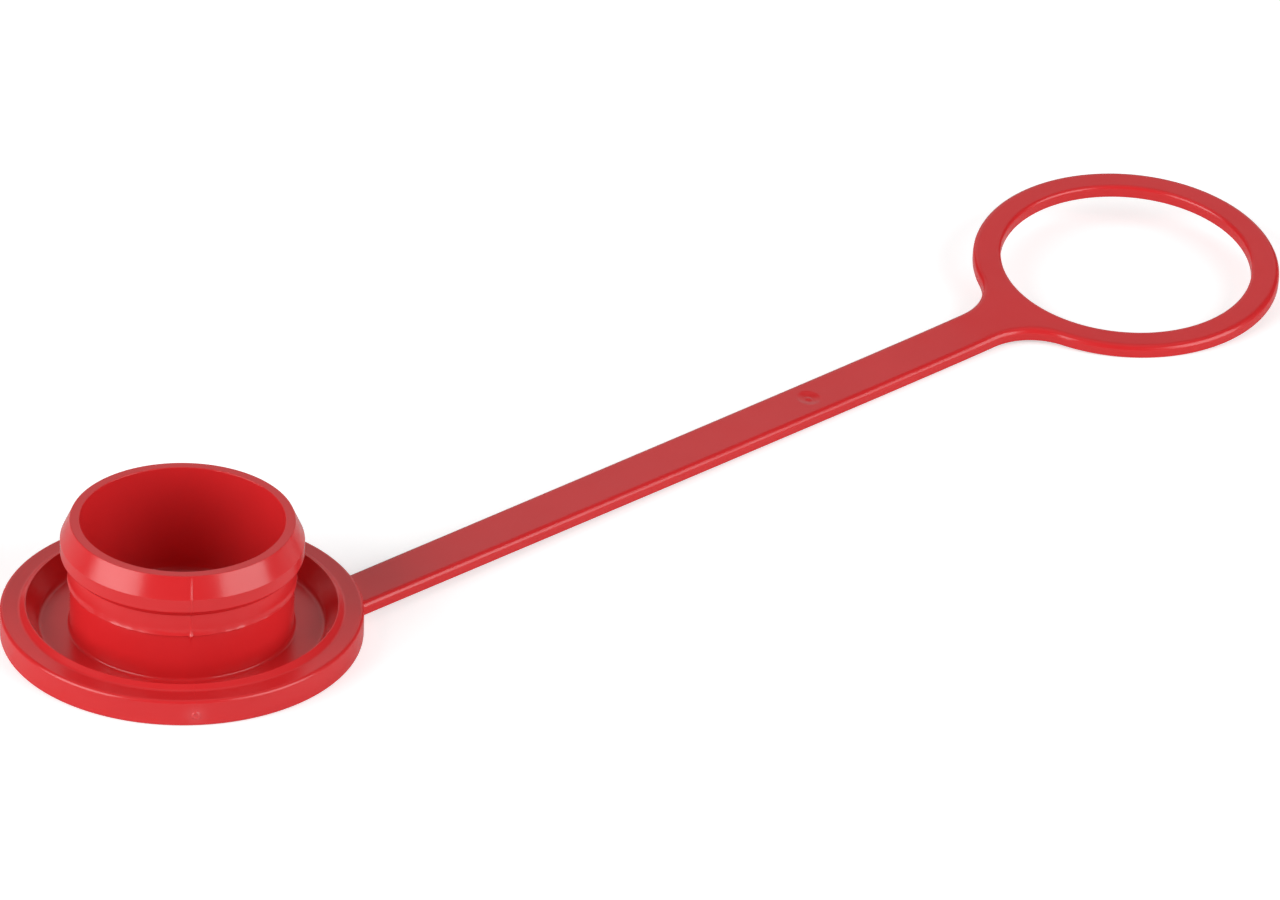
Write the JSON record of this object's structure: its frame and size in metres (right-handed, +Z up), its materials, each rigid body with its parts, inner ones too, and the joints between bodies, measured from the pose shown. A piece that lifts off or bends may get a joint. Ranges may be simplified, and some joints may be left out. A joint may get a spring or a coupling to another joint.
{
  "type": "protection cap",
  "caption": "Soft plastic push-in protection cap: a hollow plug with a snap bead and a sealing flange, held by a long flat strap to a retaining ring.",
  "frame": {"origin": "centre of the flange's flat underside, on the plug's axis", "axes": "+Z up along the plug's axis towards its open end; +X along the strap towards the ring; +Y completes the right-handed frame"},
  "size_m": [0.1686, 0.0444, 0.0137],
  "materials": {
    "red_plastic": "satin-gloss moulded soft plastic"
  },
  "bodies": {
    "root": {"protection_cap": "red_plastic"}
  },
  "joints": []
}
